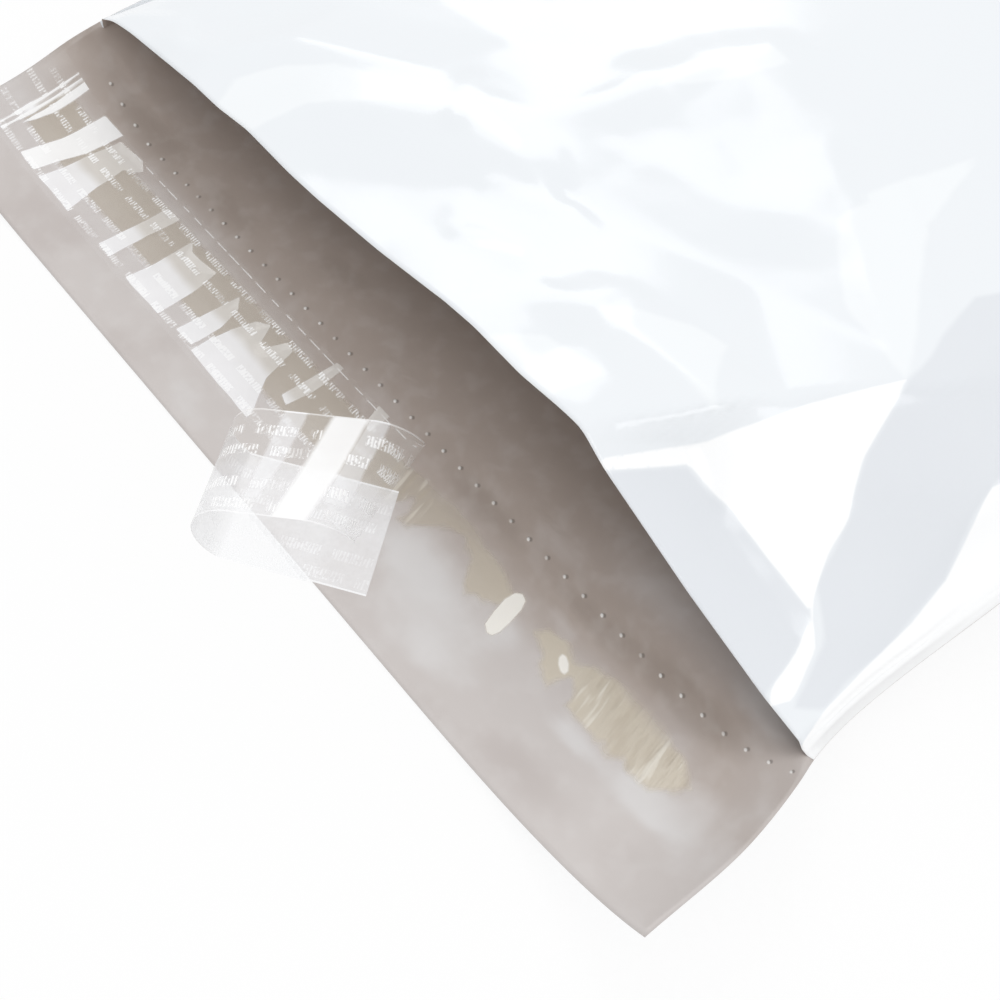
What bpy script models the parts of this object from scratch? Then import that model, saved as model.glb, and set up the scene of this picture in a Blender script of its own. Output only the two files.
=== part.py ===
"""Poly mailer bag lying on its back with the flap open: a welded film bag, the band of
adhesive on its flap, and the clear release liner, peeled off half the band and curled over."""
import math

import bmesh
import bpy
import numpy as np
from mathutils import Vector
from mathutils.geometry import delaunay_2d_cdt

for item in list(bpy.data.objects):
    bpy.data.objects.remove(item, do_unlink=True)

MM = 0.001

# Film bag, as cut and welded
BAG_WIDTH = 254.0
BAG_LENGTH = 330.2
FLAP_DEPTH = 48.0
FILM = 0.064
WELD = 1.8
PRICK_PITCH = 5.752
PRICK_END = 1.0
PRICK_INSET = 7.0
PRICK_RADIUS = 0.6
PRICK_HEIGHT = 0.4
FLAP_SLACK = 0.98

# Width, length and flap at which the side edges and folds below are set out; they stretch with the bag
SET_OUT = (254.0, 330.2, 48.0)

# Side edges as the empty bag lies: distance along, shift across, height, width of the upward curl
LEFT_SIDE = ((-48, 0, 8.5, 48), (-22, 1, 12, 48), (-7, 2.4, 16.5, 48), (0, 2.7, 16.2, 48),
             (60, 2.4, 13.5, 46), (130, 2, 13, 44), (230, 1.4, 8, 42), (330.2, 0.4, 1.5, 40))
RIGHT_SIDE = ((-48, 1.6, 16.5, 72), (-22, 1, 15, 56), (-7, -1.8, 12.5, 48), (0, -3.8, 8, 46),
              (60, -3, 10, 46), (130, -2, 13, 44), (230, -1.4, 8, 42), (330.2, -0.4, 1.5, 40))

# Front panel: the points its folds run between, each across, along and up
LIP = ((-126, 0, 16.4), (-116, 0, 20.5), (-104, 0, 24), (-75, 0, 28), (-37, 0, 29), (-5, 0, 33),
       (16, 0, 37), (40, 0, 35.8), (57, 0, 38), (65, 0, 33.2), (90, 0, 21), (112, 0, 12), (126, 0, 8.2))
CORNER = ((74, 34, 37), (88, 62, 36), (70, 18, 30), (85, 15, 22), (109, 13, 11.5), (98, 38, 20.5),
          (110, 60, 13), (116, 22, 9.5), (114, 120, 16))
CROWN = ((-82, 8, 29), (-72, 25, 30.5), (-42, 41, 33), (-15, 50, 34.5), (-78, 44, 27),
         (-40, 64, 30.5), (-8, 24, 32), (8, 40, 33), (38, 30, 36.5), (48, 52, 34), (40, 100, 35),
         (60, 112, 31), (0, 95, 34.5), (-104, 60, 22), (-56, 118, 30), (-100, 135, 20), (84, 120, 30),
         (12, 160, 33), (-66, 190, 24), (76, 185, 25), (0, 230, 26), (-74, 262, 12), (78, 258, 12),
         (0, 290, 13), (-50, 308, 5), (52, 310, 5))
HEMS = ((-126, 60), (126, 60), (-126, 130), (126, 130), (-126, 230), (126, 230),
        (-126, 331), (-60, 331), (0, 331), (60, 331), (126, 331))
CREASES = (((57, 0), (74, 34)), ((74, 34), (88, 62)), ((65, 0), (70, 18)), ((70, 18), (85, 15)),
           ((85, 15), (109, 13)), ((88, 62), (98, 38)), ((98, 38), (109, 13)), ((109, 13), (126, 0)),
           ((110, 60), (116, 22)), ((88, 62), (40, 100)), ((88, 62), (60, 112)), ((-82, 8), (-72, 25)),
           ((-72, 25), (-42, 41)), ((-42, 41), (-15, 50)))
NET = 2.0
NET_EDGE = SET_OUT[0] / 2 + 1
SOFTEN = 3

# Adhesive band and release liner; each is set from the middle line of what it lies on
GAP = 0.3
BAND_WIDTH = 14.0
BAND_SETBACK = 26.0
BAND_THICK = 0.15
EDGE_WAVE = 1.2
WAVE_REACH = 5.1
LINER_WIDTH = 25.4
LINER_THICK = 0.05
LINER_OFFSET = 1.6
BUCKLES = 12
BUCKLE_HEIGHT = 0.9
STUCK_LENGTH = 145.8
LOOSE_LENGTH = 101.2
PEEL_EASE = 12.0
FIRST_SLANT = -69.0
FIRST_RADIUS = 11.8
FIRST_TURN = 176.0
TOP_RUN = 10.6
SECOND_SLANT = -87.5
SECOND_RADIUS = 10.3
SECOND_TURN = 188.0
TURN_EASE = 11.0

WIDER = BAG_WIDTH / SET_OUT[0]
LONGER = BAG_LENGTH / SET_OUT[1]
DEEPER = FLAP_DEPTH / SET_OUT[2]
INNER = BAG_WIDTH / 2 - WELD
PRICKS = int(2 * (INNER - PRICK_END) / PRICK_PITCH) - 1
COLUMNS = PRICKS + 5
BAND_CENTRE = FLAP_DEPTH - BAND_SETBACK
LINER_CENTRE = BAND_CENTRE + LINER_OFFSET
PEEL_AT = STUCK_LENGTH - BAG_WIDTH / 2
FLAP_ROWS = (-FLAP_DEPTH, -34.0 * DEEPER, -20.0 * DEEPER, -PRICK_INSET)
BODY_ROWS = (0.0, 7.0, 14.0, 21.0, 28.0, 36.0, 44.0, 52.0, 61.0, 71.0, 83.0, 97.0, 113.0, 133.0, 157.0,
             187.0, 222.0, 258.0, 290.0, 314.0)
BODY_ROWS = tuple(v * LONGER for v in BODY_ROWS) + (BAG_LENGTH,)


def through(points, at, column=1):
    """Smooth curve through the points of a side edge, read at one or more places along the bag."""
    place = np.array([p[0] for p in points], float)
    value = np.array([p[column] for p in points], float)
    slope = np.gradient(value, place)
    at = np.asarray(at, float)
    at = np.clip(np.where(at < 0, at / DEEPER, at / LONGER), place[0], place[-1])
    k = np.clip(np.searchsorted(place, at) - 1, 0, len(place) - 2)
    step = place[k + 1] - place[k]
    t = (at - place[k]) / step
    return (value[k] * (1 + 2 * t) * (1 - t) ** 2 + value[k + 1] * t * t * (3 - 2 * t)
            + step * t * (1 - t) * (slope[k] * (1 - t) - slope[k + 1] * t))


def back_height(u, v):
    """Inner face of the back panel and flap: flat on the table, curling up to the side welds."""
    side, width = [np.where(u < 0, through(LEFT_SIDE, v, k), through(RIGHT_SIDE, v, k)) for k in (2, 3)]
    curl = np.clip((np.abs(u) - BAG_WIDTH / 2 + width) / width, 0, 1) ** 3
    return FILM + curl * side


def panel_net():
    """Heights of the front panel on a fine net: flat facets between the folds, softly rounded."""
    points = LIP + CORNER + CROWN + tuple(
        (u, v, float(back_height(u * WIDER, v * LONGER))) for u, v in HEMS)
    flat = [Vector(p[:2]) for p in points]
    index = {p[:2]: k for k, p in enumerate(points)}
    creases = [(index[a], index[b]) for a, b in CREASES]
    _, _, faces, origin, _, _ = delaunay_2d_cdt(flat, creases, [], 0, 1e-6)
    u, v = np.meshgrid(np.arange(-NET_EDGE, NET_EDGE + 1, NET), np.arange(0, SET_OUT[1] + 1, NET))
    height = np.full(u.shape, np.nan)
    for face in faces:
        (x0, y0, z0), (x1, y1, z1), (x2, y2, z2) = (points[origin[k][0]] for k in face)
        area = (x1 - x0) * (y2 - y0) - (x2 - x0) * (y1 - y0)
        b1 = ((u - x0) * (y2 - y0) - (x2 - x0) * (v - y0)) / area
        b2 = ((x1 - x0) * (v - y0) - (u - x0) * (y1 - y0)) / area
        inside = (b1 > -1e-6) & (b2 > -1e-6) & (b1 + b2 < 1 + 1e-6)
        height = np.where(inside, z0 + b1 * (z1 - z0) + b2 * (z2 - z0), height)
    height = np.where(np.isnan(height), back_height(u * WIDER, v * LONGER), height)
    for _ in range(SOFTEN):
        height[:, 1:-1] = (height[:, :-2] + 2 * height[:, 1:-1] + height[:, 2:]) / 4
        height[1:-1] = (height[:-2] + 2 * height[1:-1] + height[2:]) / 4
    return height


def front_height(u, v):
    """Inner face of the front panel, closing onto the back panel at the welds and the bottom."""
    across = np.clip((u / WIDER + NET_EDGE) / NET, 0, net.shape[1] - 1.001)
    along = min(v / LONGER / NET, net.shape[0] - 1.001)
    i, j = across.astype(int), int(along)
    s, t = across - i, along - j
    top = ((net[j, i] * (1 - s) + net[j, i + 1] * s) * (1 - t)
           + (net[j + 1, i] * (1 - s) + net[j + 1, i + 1] * s) * t)
    back = back_height(u, v)
    room = np.clip((INNER - np.abs(u)) / 9, 0, 1) * np.clip((BAG_LENGTH - v) / 12, 0, 1)
    least = 0.16 * np.clip(INNER - np.abs(u), 0, 10) * np.clip((BAG_LENGTH - v) / 30, 0, 1)
    return back + np.maximum((top - back) * room, least)


def line_across(v, us, height):
    """Points of one line across the bag. The film keeps its length between the side edges, and the
    two panels share one spacing, so that they stay over each other."""
    dense = np.linspace(-BAG_WIDTH / 2, BAG_WIDTH / 2, 353)
    step = dense[1] - dense[0]
    rise = np.diff(back_height(dense, v)) ** 2
    if v >= 0:
        rise = (rise + np.diff(front_height(dense, v)) ** 2) / 2
    run = np.sqrt(np.maximum(step ** 2 - rise, (0.2 * step) ** 2))
    x = np.concatenate([[0], np.cumsum(run)])
    left, right = through(LEFT_SIDE, v) - BAG_WIDTH / 2, through(RIGHT_SIDE, v) + BAG_WIDTH / 2
    x = left + x * (right - left) / x[-1]
    y = v * FLAP_SLACK if v < 0 else v
    us = np.asarray(us, float)
    return np.stack([np.interp(us, dense, x), np.full(us.shape, y), height(us, v)], -1)


def surface(rows, us, height):
    return np.array([line_across(v, us, height) for v in rows])


def normals(grid):
    along, across = np.gradient(grid, axis=0), np.gradient(grid, axis=1)
    n = np.cross(across, along)
    return n / np.linalg.norm(n, axis=-1, keepdims=True)


def material(name, colour, rough, alpha=1.0):
    m = bpy.data.materials.new(name)
    m.use_nodes = True
    shader = m.node_tree.nodes["Principled BSDF"]
    shader.inputs["Base Color"].default_value = (*colour, 1)
    shader.inputs["Roughness"].default_value = rough
    shader.inputs["Alpha"].default_value = alpha
    return m


def finish(bm, name, mat):
    """Turns the mesh outward, and makes it a named object."""
    bmesh.ops.recalc_face_normals(bm, faces=bm.faces)
    mesh = bpy.data.meshes.new(name)
    bm.to_mesh(mesh)
    bm.free()
    mesh.materials.append(mat)
    obj = bpy.data.objects.new(name, mesh)
    bpy.context.scene.collection.objects.link(obj)
    return obj


def patch(bm, grid, split, up):
    """Faces of one grid of corners, two triangles to a cell, cut along the same corners on both sides
    of a film. Cells with a missing corner are left open."""
    for j in range(len(grid) - 1):
        for i in range(len(grid[0]) - 1):
            a, b, c, d = grid[j][i], grid[j][i + 1], grid[j + 1][i + 1], grid[j + 1][i]
            if None in (a, b, c, d):
                continue
            pair = ((a, b, c), (a, c, d)) if split[j][i] else ((a, b, d), (b, c, d))
            for face in pair:
                bm.faces.new(face if up else face[::-1])


def diagonals(points):
    """Which diagonal of each cell leaves the flatter pair of triangles with its neighbours."""
    smooth = np.pad(points[..., 2], 1, mode="edge")
    bend = np.abs(smooth[2:, 2:] + smooth[:-2, :-2] - 2 * smooth[1:-1, 1:-1])
    turn = np.abs(smooth[2:, :-2] + smooth[:-2, 2:] - 2 * smooth[1:-1, 1:-1])
    along = bend[:-1, :-1] + bend[1:, 1:]
    across = turn[:-1, 1:] + turn[1:, :-1]
    return along < across


def slab(top, bottom, name, mat):
    """Closed sheet between two grids of points."""
    bm = bmesh.new()
    rows, columns = top.shape[:2]
    up = [[bm.verts.new(p * MM) for p in line] for line in top]
    low = [[bm.verts.new(p * MM) for p in line] for line in bottom]
    split = diagonals(top)
    patch(bm, up, split, True)
    patch(bm, low, split, False)
    for j in range(rows - 1):
        for i in (0, columns - 1):
            bm.faces.new((up[j][i], up[j + 1][i], low[j + 1][i], low[j][i]))
    for i in range(columns - 1):
        for j in (0, rows - 1):
            bm.faces.new((up[j][i], low[j][i], low[j][i + 1], up[j][i + 1]))
    return finish(bm, name, mat)


# Film bag: front and back panel in one web, welded down both sides, folded at the bottom
net = panel_net()
outer = (PRICKS + 1) * PRICK_PITCH / 2
us = np.linspace(-outer, outer, PRICKS + 2)
us = np.concatenate([[-BAG_WIDTH / 2, -INNER], us, [INNER, BAG_WIDTH / 2]])
inner_body = BODY_ROWS[:-1] + (BAG_LENGTH - FILM,)
back_in = surface(FLAP_ROWS + inner_body, us, back_height)
back_all = surface(FLAP_ROWS + BODY_ROWS, us, back_height)
front_in = surface(inner_body, us, front_height)
front_all = surface(BODY_ROWS, us, front_height)
back_out = back_all - normals(back_all) * FILM
front_out = front_all + normals(front_all) * FILM
mouth = len(FLAP_ROWS)
last = len(BODY_ROWS) - 1

film = bmesh.new()
floor_in = [[film.verts.new(p * MM) if j <= mouth or 0 < i < COLUMNS else None
             for i, p in enumerate(line)] for j, line in enumerate(back_in)]
floor_out = [[film.verts.new(p * MM) for p in line] for line in back_out]
roof_out = [[film.verts.new(p * MM) for p in line] for line in front_out]
roof_in = [[floor_in[mouth + j][i] if i in (1, COLUMNS - 1) or j == last
            else film.verts.new(p * MM) if 0 < i < COLUMNS else None
            for i, p in enumerate(line)] for j, line in enumerate(front_in)]
floor_split, roof_split = diagonals(back_all), diagonals(front_all)
roof_split[last - 1, 1], roof_split[last - 1, COLUMNS - 2] = False, True
for i in (0, COLUMNS - 1):
    roof_split[:, i] = floor_split[mouth:, i]
patch(film, floor_out, floor_split, False)
patch(film, floor_in, floor_split, True)
patch(film, roof_out, roof_split, True)
patch(film, roof_in, roof_split, False)
for i in range(COLUMNS):
    film.faces.new((floor_in[0][i], floor_out[0][i], floor_out[0][i + 1], floor_in[0][i + 1]))
    film.faces.new((roof_out[last][i], roof_out[last][i + 1], floor_out[-1][i + 1], floor_out[-1][i]))
    lip_low = floor_in[mouth] if i in (0, COLUMNS - 1) else roof_in[0]
    film.faces.new((roof_out[0][i], lip_low[i], lip_low[i + 1], roof_out[0][i + 1]))
for i in (0, COLUMNS):
    for j in range(mouth):
        film.faces.new((floor_in[j][i], floor_in[j + 1][i], floor_out[j + 1][i], floor_out[j][i]))
    film.faces.new((floor_in[mouth][i], roof_out[0][i], roof_out[1][i], floor_out[mouth + 1][i],
                    floor_out[mouth][i]))
    for j in range(1, last):
        film.faces.new((roof_out[j][i], roof_out[j + 1][i], floor_out[mouth + j + 1][i],
                        floor_out[mouth + j][i]))

# Pin pricks: the film is pushed up to a small point at each
pricked = [floor_in[FLAP_ROWS.index(-PRICK_INSET)][i] for i in range(3, COLUMNS - 2)]
made = bmesh.ops.bevel(film, geom=pricked, offset=PRICK_RADIUS * MM, segments=1, affect="VERTICES")
points = bmesh.ops.poke(film, faces=made["faces"])["verts"]
for point in points:
    point.co.z += PRICK_HEIGHT * MM
finish(film, "mailer_film", material("mailer_film", (0.86, 0.88, 0.90), 0.25))

# Adhesive: a thin band laid across the flap, its outer edge a little uneven
band_u = us[3:-3]
band_v = np.array((-BAND_WIDTH / 2, 0, BAND_WIDTH / 2)) - BAND_CENTRE
band = surface(band_v, band_u, back_height)
band[0, :, 1] += np.where(band_u > PEEL_AT, EDGE_WAVE * np.sin(band_u / WAVE_REACH), 0)
lift = normals(band)
slab(band + lift * (GAP + BAND_THICK), band + lift * GAP, "adhesive_strip",
     material("adhesive_strip", (0.62, 0.57, 0.46), 0.35))


# Release liner: flat on the band in low cross buckles, then two slanting bends of a loose curl
def bend(points, flat, at, angle, radius, turn):
    """Rolls what lies past a slanting line up and over, and carries the rest round with it."""
    a = math.radians(angle)
    axis = np.array([math.cos(a), math.sin(a), 0])
    across = np.array([-math.sin(a), math.cos(a), 0])
    foot = np.array([at, 0, 0])
    past = (flat - foot[:2]) @ across[:2]
    roll = np.clip(past / radius, 0, math.radians(turn))
    rest = points - foot - np.outer(roll * radius, across)
    flat_on, height = rest @ across, rest[:, 2]
    out = radius * np.sin(roll) + flat_on * np.cos(roll) - height * np.sin(roll)
    up = radius * (1 - np.cos(roll)) + flat_on * np.sin(roll) + height * np.cos(roll)
    bent = foot + np.outer(rest @ axis, axis) + np.outer(out, across) + np.outer(up, [0, 0, 1])
    return np.where(past[:, None] > 0, bent, points)


lie = GAP * 2 + BAND_THICK
attached = np.linspace(-BAG_WIDTH / 2, PEEL_AT - PEEL_EASE, BUCKLES * 4 + 1)
slants = [1 / math.tan(math.radians(a)) for a in (FIRST_SLANT, SECOND_SLANT)]
top_length = FIRST_RADIUS * math.radians(FIRST_TURN) + TOP_RUN
second_at = PEEL_AT + top_length / abs(math.sin(math.radians(FIRST_SLANT)))
tail = np.linspace(PEEL_AT, PEEL_AT + LOOSE_LENGTH, 34)
slant = np.interp(tail, (PEEL_AT, second_at - TURN_EASE, second_at), (slants[0], slants[0], slants[1]))
qs = np.linspace(-LINER_WIDTH / 2, LINER_WIDTH / 2, 4)
on_band = surface(qs - LINER_CENTRE, attached, back_height)
wave = np.sin(np.linspace(0, BUCKLES * math.pi, len(attached))) ** 2
wave = BUCKLE_HEIGHT * np.outer(1 - 0.5 * (qs / qs[-1]) ** 2, wave)[..., None]
sides = []
for level in (lie + LINER_THICK, lie):
    stuck = on_band + normals(on_band) * (level + wave)
    loose = []
    for q in qs:
        flat = np.stack([tail + slant * q, np.full(tail.shape, q)], -1)
        place = np.column_stack([flat, np.full(tail.shape, level - lie)])
        place = bend(place, flat, second_at, SECOND_SLANT, SECOND_RADIUS, SECOND_TURN)
        place = bend(place, flat, PEEL_AT, FIRST_SLANT, FIRST_RADIUS, FIRST_TURN)
        loose.append(place + (0, -LINER_CENTRE * FLAP_SLACK, lie + FILM))
    sides.append(np.concatenate([stuck, np.array(loose)], axis=1))
slab(*sides, "release_liner", material("release_liner", (0.86, 0.87, 0.88), 0.12, 0.35))

# Row frame: origin at the middle of the lowest face of the whole part
meshes = [o.data for o in bpy.context.scene.objects if o.type == "MESH"]
corners = np.array([v.co[:] for m in meshes for v in m.vertices])
low, high = corners.min(0), corners.max(0)
shift = np.array([(low[0] + high[0]) / 2, (low[1] + high[1]) / 2, low[2]])
for m in meshes:
    for vertex in m.vertices:
        vertex.co -= Vector(shift)
    m.update()
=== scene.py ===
"""Poly mailer bag lying open on its back: a white film bag with a grey inside, the band of
adhesive on its flap, and the clear release liner, peeled off half the band and curled over."""
import math

import bmesh
import bpy
import numpy as np
from mathutils import Matrix, Vector
from mathutils.geometry import delaunay_2d_cdt


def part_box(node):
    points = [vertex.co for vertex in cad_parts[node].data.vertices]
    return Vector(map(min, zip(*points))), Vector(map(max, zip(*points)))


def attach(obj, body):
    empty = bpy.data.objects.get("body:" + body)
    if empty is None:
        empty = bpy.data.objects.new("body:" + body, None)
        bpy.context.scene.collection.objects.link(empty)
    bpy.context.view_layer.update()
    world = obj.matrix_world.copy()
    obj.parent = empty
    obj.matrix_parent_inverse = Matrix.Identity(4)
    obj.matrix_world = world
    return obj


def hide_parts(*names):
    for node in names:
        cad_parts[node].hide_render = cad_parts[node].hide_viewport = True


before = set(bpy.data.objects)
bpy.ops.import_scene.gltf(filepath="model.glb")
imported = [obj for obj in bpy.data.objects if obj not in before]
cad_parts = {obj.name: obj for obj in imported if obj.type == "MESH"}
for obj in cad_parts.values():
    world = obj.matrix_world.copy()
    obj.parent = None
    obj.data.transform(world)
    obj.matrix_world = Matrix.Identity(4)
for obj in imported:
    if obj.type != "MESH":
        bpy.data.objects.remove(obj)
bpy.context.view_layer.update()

# Film bag: one web of co-extruded film, white outside and grey inside, folded at the bottom and
# welded down both sides. It lies with its flap open and the front panel standing off the back.
# Places on it are in mm: u across from the middle, v along from the mouth to the bottom fold
MM = 0.001
BAG_WIDTH, BAG_LENGTH, FLAP_DEPTH, FILM, WELD = 254.0, 330.2, 48.0, 0.064, 1.8
HALF_WIDTH = BAG_WIDTH / 2
INNER = HALF_WIDTH - WELD
FLAP_REACH = 0.98    # the flap isn't quite flat, so it reaches a little less far than it is deep
FOLD_LIFT = 0.15     # the bottom fold stands a little off the table

# Row of pin pricks: number of the prick at each place across, and its distance from the mouth there
PRICK_COUNT = ((-118.8, -1), (-113.2, 0), (-107.2, 1), (-93.7, 3), (-81.5, 5), (-71.5, 7),
               (123.8, 42), (129, 43))
PRICK_INSET = ((-118, 4.8), (-107, 6.0), (-93.5, 7.4), (110, 7.0), (124, 5.5))
PRICK_PITCH, LAST_PRICK = 5.6, 42

# Side edges as the bag lies: distance along, place across, height, width of the upward curl
LEFT_SIDE = ((-48, -127, 8.5, 48), (-22, -126, 11.3, 48), (-7, -124.6, 15.3, 48), (0, -124.3, 16.2, 48),
             (60, -124.6, 13.5, 46), (130, -125, 13, 44), (230, -125.6, 8, 42), (330.2, -126.6, 1.5, 40))
RIGHT_SIDE = ((-48, 128.6, 16.5, 72), (-22, 128, 15, 56), (-7, 125.2, 12.5, 48), (0, 123.2, 8, 46),
              (60, 124, 10, 46), (130, 125, 13, 44), (230, 125.6, 8, 42), (330.2, 126.6, 1.5, 40))

# Front panel: the points its folds run between, each across, along and up
LIP = ((-126, 0, 16.4), (-116, 0, 20.5), (-104, 0, 24), (-75, 0, 28), (-37, 0, 29), (-5, 0, 33),
       (16, 0, 37), (40, 0, 35.8), (57, 0, 38), (65, 0, 33.2), (90, 0, 21), (112, 0, 12), (126, 0, 8.2))
CORNER = ((74, 34, 37), (88, 62, 36), (70, 18, 30), (85, 15, 22), (109, 13, 11.5), (98, 38, 20.5),
          (110, 60, 13), (116, 22, 9.5), (114, 120, 16))
CROWN = ((-82, 8, 29), (-72, 25, 30.5), (-42, 41, 33), (-15, 50, 34.5), (-78, 44, 27), (-40, 64, 30.5),
         (-8, 24, 32), (8, 40, 33), (38, 30, 36.5), (48, 52, 34), (40, 100, 35), (60, 112, 31),
         (0, 95, 34.5), (-104, 60, 22), (-56, 118, 30), (-100, 135, 20), (84, 120, 30), (12, 160, 33),
         (-66, 190, 24), (76, 185, 25), (0, 230, 26), (-74, 262, 12), (78, 258, 12), (0, 290, 13),
         (-50, 308, 5), (52, 310, 5))
HEMS = ((-126, 60), (126, 60), (-126, 130), (126, 130), (-126, 230), (126, 230),
        (-126, 331), (-60, 331), (0, 331), (60, 331), (126, 331))
CREASES = (((57, 0), (74, 34)), ((74, 34), (88, 62)), ((65, 0), (70, 18)), ((70, 18), (85, 15)),
           ((85, 15), (109, 13)), ((88, 62), (98, 38)), ((98, 38), (109, 13)), ((109, 13), (126, 0)),
           ((110, 60), (116, 22)), ((88, 62), (40, 100)), ((88, 62), (60, 112)), ((-82, 8), (-72, 25)),
           ((-72, 25), (-42, 41)), ((-42, 41), (-15, 50)))

# Low crease ridges in the front panel: crest line, height, width of the side facing the bottom of
# the bag, width of the side facing the mouth
RIDGES = (
    (((-53, 1), (-50, 14), (-42, 24), (-30, 33), (-22, 37), (-6, 38)), 1.9, 12, 26),
    (((-34, 47), (-29, 42), (-24, 36)), 0.7, 3, 4),
    (((26, 0), (38, 1), (50, 2)), 1.7, 11, 14),
    (((36, 21), (50, 23), (66, 24)), 1.9, 12, 16),
    (((4, 17), (14, 20)), 0.7, 4, 6),
    (((-4, 30), (6, 34)), 0.5, 3, 5),
    (((-10, 76), (-6, 92), (2, 104)), 0.9, 9, 20),
    (((46, 82), (62, 68), (82, 56)), 1.6, 16, 22),
    (((-112, 4), (-100, 10), (-92, 7)), 1.0, 5, 7),
    (((84, 16), (97, 18), (108, 17)), 1.2, 9, 5),
    (((-84, 60), (-60, 74), (-30, 80), (0, 76)), 0.8, 18, 24),
    (((10, 60), (28, 64), (40, 72)), 0.7, 10, 14),
)

# Facets of the front panel with a painted highlight, with painted shade, and with a fainter painted
# sheen: corners across, along
HIGHLIGHT_FACETS = (
    ((62, -2), (66, 8), (72, 20), (77, 38), (82, 55), (90, 42), (97, 35), (100, 28), (105, 20), (107, 18),
     (85, 17), (73, 15), (69, 8), (64, -2)),
    ((107, 18), (112, 15), (116, 4), (114, -1), (112, 3), (110, 12)),
    ((108, 65), (117, 45), (120, 25), (121, 8), (124, -2), (128, -2), (128, 90), (112, 90)),
)
SHADED_FACETS = (
    ((64, -2), (69, 8), (73, 15), (85, 17), (107, 18), (110, 12), (112, 3), (113, -2)),
    ((82, 55), (90, 42), (97, 35), (103, 22), (112, 17), (117, 3), (121, 8), (120, 25), (117, 45),
     (108, 65), (104, 90), (84, 100), (76, 84)),
)
SHEEN_FACETS = (
    ((45, 85), (60, 85), (52, 118)),
    ((60, 90), (82, 55), (62, 60), (46, 76), (48, 90)),
    ((35, 22), (50, 34), (58, 36), (65, 25), (68, 22), (50, 23), (38, 20)),
    ((27, -2), (35, 10), (50, 13), (48, -2)),
    ((-70, 8), (-66, 18), (-58, 28), (-40, 35), (-30, 42), (-10, 42), (-8, 39), (-28, 37), (-40, 26),
     (-50, 14), (-52, -2), (-65, -2)),
    ((5, 15), (14, 22), (16, 20), (8, 15)),
    ((-5, 75), (-8, 90), (0, 105), (8, 104), (5, 92)),
)

# Painted sheen and painted shade in clouds inside the flap and mouth: place across and along,
# half-sizes, and strength, above 0 for sheen and below 0 for shade
SHEEN_SHADE_SPOTS = ((38, -29, 12, 6, 0.9), (52, -38, 14, 7, 0.5), (86, -29, 6, 2.5, 1.0), (105, -28, 9, 3.5, 1.1),
          (113, -22, 4, 4, 0.6), (70, -14, 8, 2.2, 0.4), (95, -11.5, 12, 2.2, 0.2), (62, -25, 5, 4, 0.6),
          (20, -42, 12, 5, 0.5), (-70, -42, 16, 4, 0.5), (-105, -44, 12, 5, 0.3), (-20, -44, 14, 4, 0.4),
          (84, -41, 12, 5, -0.7), (110, -40, 9, 6, -0.5), (62, -46, 12, 3, -0.5), (-40, -40, 8, 6, -0.5),
          (-85, -38, 7, 6, -0.6), (118, -8, 8, 6, -0.2), (70, -9, 16, 4, -0.9), (36, -9, 14, 4, -0.8),
          (30, 5, 14, 4, 0.3), (0, 2, 14, 3, 0.35), (-30, 6, 14, 4, -0.5), (-60, -3, 12, 4, -0.4),
          (-98, -4, 14, 6, -0.9), (84, 5, 14, 5, 0.6), (114, 4, 9, 6, 1.2), (8, -10, 12, 3, 0.35),
          (56, -4, 9, 3, 0.4), (-90, -42, 18, 7, -0.9), (-50, -46, 12, 3, -0.4), (98, -7, 14, 4, -0.8))

# The net that holds the front panel's heights: its side and bottom edges, a little past the bag's
# own, and how often it is smoothed
NET_SIDE, NET_END, SMOOTHINGS = 128, 331, 2

# How the front panel parts from the back: distance from a weld and from the bottom fold over which
# it takes up its full height, the least slope off a weld and where that ends, and the gap within
WELD_ROOM, FOLD_ROOM = 3, 12
LEAST_SLOPE, LEAST_ACROSS, LEAST_ALONG = 0.16, 10, 30
PANEL_GAP, GAP_ALONG = 0.03, 3

# Rows of the web: the spacing is close on the flap and near the mouth, and wider further in
FLAP_SPACING, BACK_SPACING, BACK_WIDENS, BACK_ENDS = 1.6, 6.0, 60, 328
LIP_SPACING, FRONT_SPACING, FRONT_WIDENS, FRONT_ENDS = 1.25, 3.0, 160, 327
FILM_COLUMNS, STEPS_ACROSS = 158, 352


def through(points, at, column=1):
    """Smooth curve through the points, read at one or more places."""
    place = np.array([p[0] for p in points], float)
    value = np.array([p[column] for p in points], float)
    slope = np.gradient(value, place)
    at = np.clip(np.asarray(at, float), place[0], place[-1])
    k = np.clip(np.searchsorted(place, at) - 1, 0, len(place) - 2)
    step = place[k + 1] - place[k]
    t = (at - place[k]) / step
    return (value[k] * (1 + 2 * t) * (1 - t) ** 2 + value[k + 1] * t * t * (3 - 2 * t)
            + step * t * (1 - t) * (slope[k] * (1 - t) - slope[k + 1] * t))


def back_height(u, v):
    """Inner face of the back panel and flap: flat on the table, curling up to the side welds."""
    side, width = [np.where(u < 0, through(LEFT_SIDE, v, k), through(RIGHT_SIDE, v, k)) for k in (2, 3)]
    curl = np.clip((np.abs(u) - HALF_WIDTH + width) / width, 0, 1) ** 3
    return FILM + curl * side


def from_line(u, v, a, b):
    """Distance of each place from the line a to b, and on which side of it the place lies."""
    run = b - a
    t = np.clip(((u - a[0]) * run[0] + (v - a[1]) * run[1]) / (run @ run), 0, 1)
    away = np.hypot(u - a[0] - t * run[0], v - a[1] - t * run[1])
    return away, run[0] * (v - a[1]) - run[1] * (u - a[0])


def ridge(u, v, crest, beyond, before):
    """1 on the crest line, falling straight to 0 on its two sides and past its ends."""
    nearest = np.full(u.shape, np.inf)
    side = np.zeros(u.shape)
    for a, b in zip(crest[:-1], crest[1:]):
        away, left = from_line(u, v, a, b)
        side = np.where(away < nearest, left, side)
        nearest = np.minimum(away, nearest)
    return np.clip(1 - nearest / np.where(side > 0, beyond, before), 0, 1)


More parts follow.
